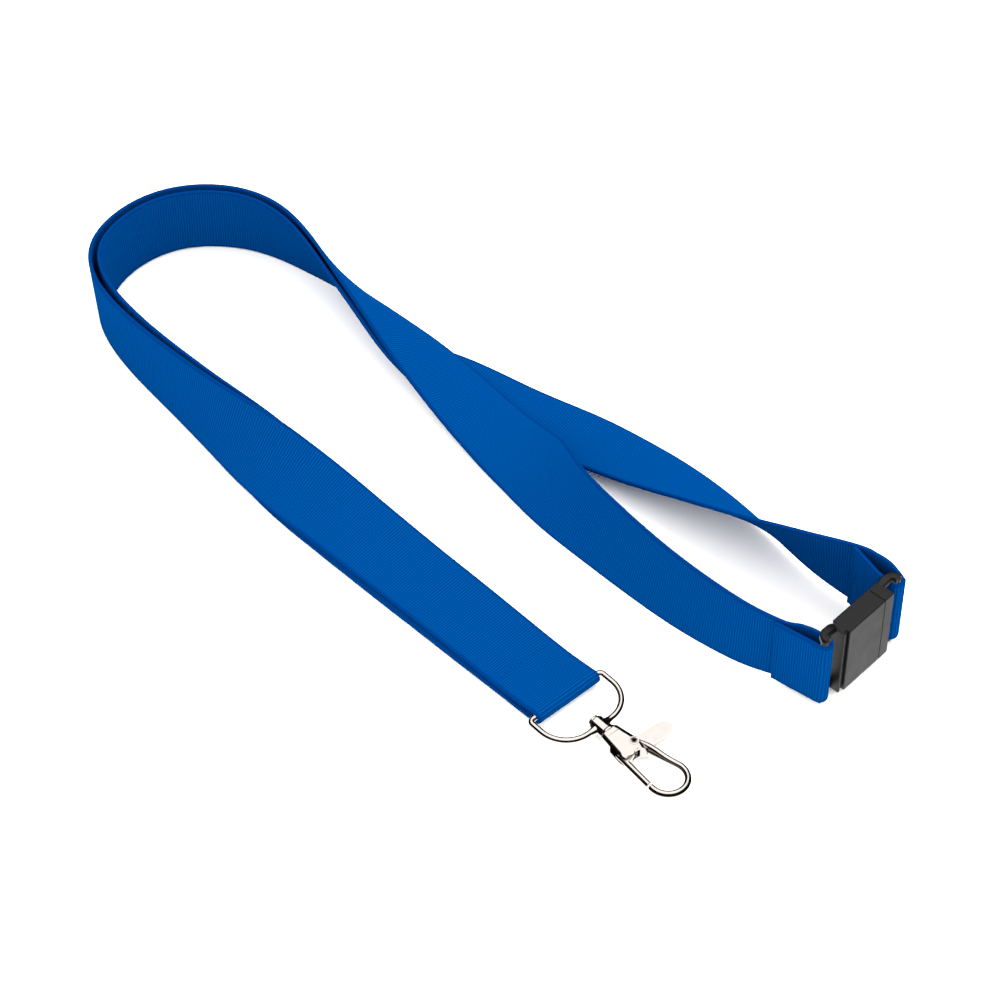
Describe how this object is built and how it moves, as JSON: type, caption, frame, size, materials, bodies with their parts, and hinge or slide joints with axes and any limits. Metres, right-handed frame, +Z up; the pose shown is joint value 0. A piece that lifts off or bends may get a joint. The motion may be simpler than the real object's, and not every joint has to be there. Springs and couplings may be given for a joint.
{
  "type": "lanyard",
  "caption": "Neck lanyard of flat ribbed webbing with a breakaway buckle and a swivelling trigger hook on a D-ring, lying in a loop.",
  "frame": {"origin": "centre of the bounding box on the surface the lanyard lies on", "axes": "+X from the webbing bend towards the hook along the swivel axis, +Z up from the surface, +Y across the lay towards the far strap"},
  "size_m": [0.237, 0.0913, 0.0234],
  "materials": {
    "webbing": "ribbed polyester grosgrain",
    "thread": "polyester sewing thread",
    "buckle": "fine satin moulded",
    "nickel": "bright nickel plate on zinc",
    "spring": "drawn spring wire"
  },
  "bodies": {
    "strap": {"strap_outer_front": "webbing", "strap_outer_bend": "webbing", "strap_outer_tail": "webbing", "strap_inner_front": "webbing", "strap_inner_bend": "webbing", "strap_inner_tail": "webbing", "strap_ring_fold": "webbing", "strap_near_loop": "webbing", "ring_stitches": "thread", "near_stitches": "thread", "buckle_housing": "buckle"},
    "insert": {"buckle_insert": "buckle", "strap_far_loop": "webbing", "far_stitches": "thread"},
    "eye": {"swivel_eye": "nickel"},
    "hook": {"hook_body": "nickel", "swivel_post": "nickel", "pivot_pin": "nickel", "torsion_spring": "spring"},
    "lever": {"trigger_lever": "nickel"}
  },
  "joints": [
    {"name": "buckle_release", "type": "slide", "parent": "strap", "child": "insert", "axis": [-0.0872, 0.9962, 0], "range_m": [0, 0.014]},
    {"name": "ring_swing", "type": "hinge", "parent": "strap", "child": "eye", "pos_m": [0.0758, -0.03141, 0.0026], "axis": [0, 1, 0], "range_deg": [-90, 90]},
    {"name": "hook_swivel", "type": "hinge", "parent": "eye", "child": "hook", "pos_m": [0.089, -0.03141, 0.0026], "axis": [1, 0, 0], "continuous": true},
    {"name": "trigger_press", "type": "hinge", "parent": "hook", "child": "lever", "pos_m": [0.0978, -0.02961, 0.0026], "axis": [0, 0, 1], "range_deg": [0, 22], "stiffness_Nm_per_rad": 0.02, "springref_deg": -17.19}
  ]
}
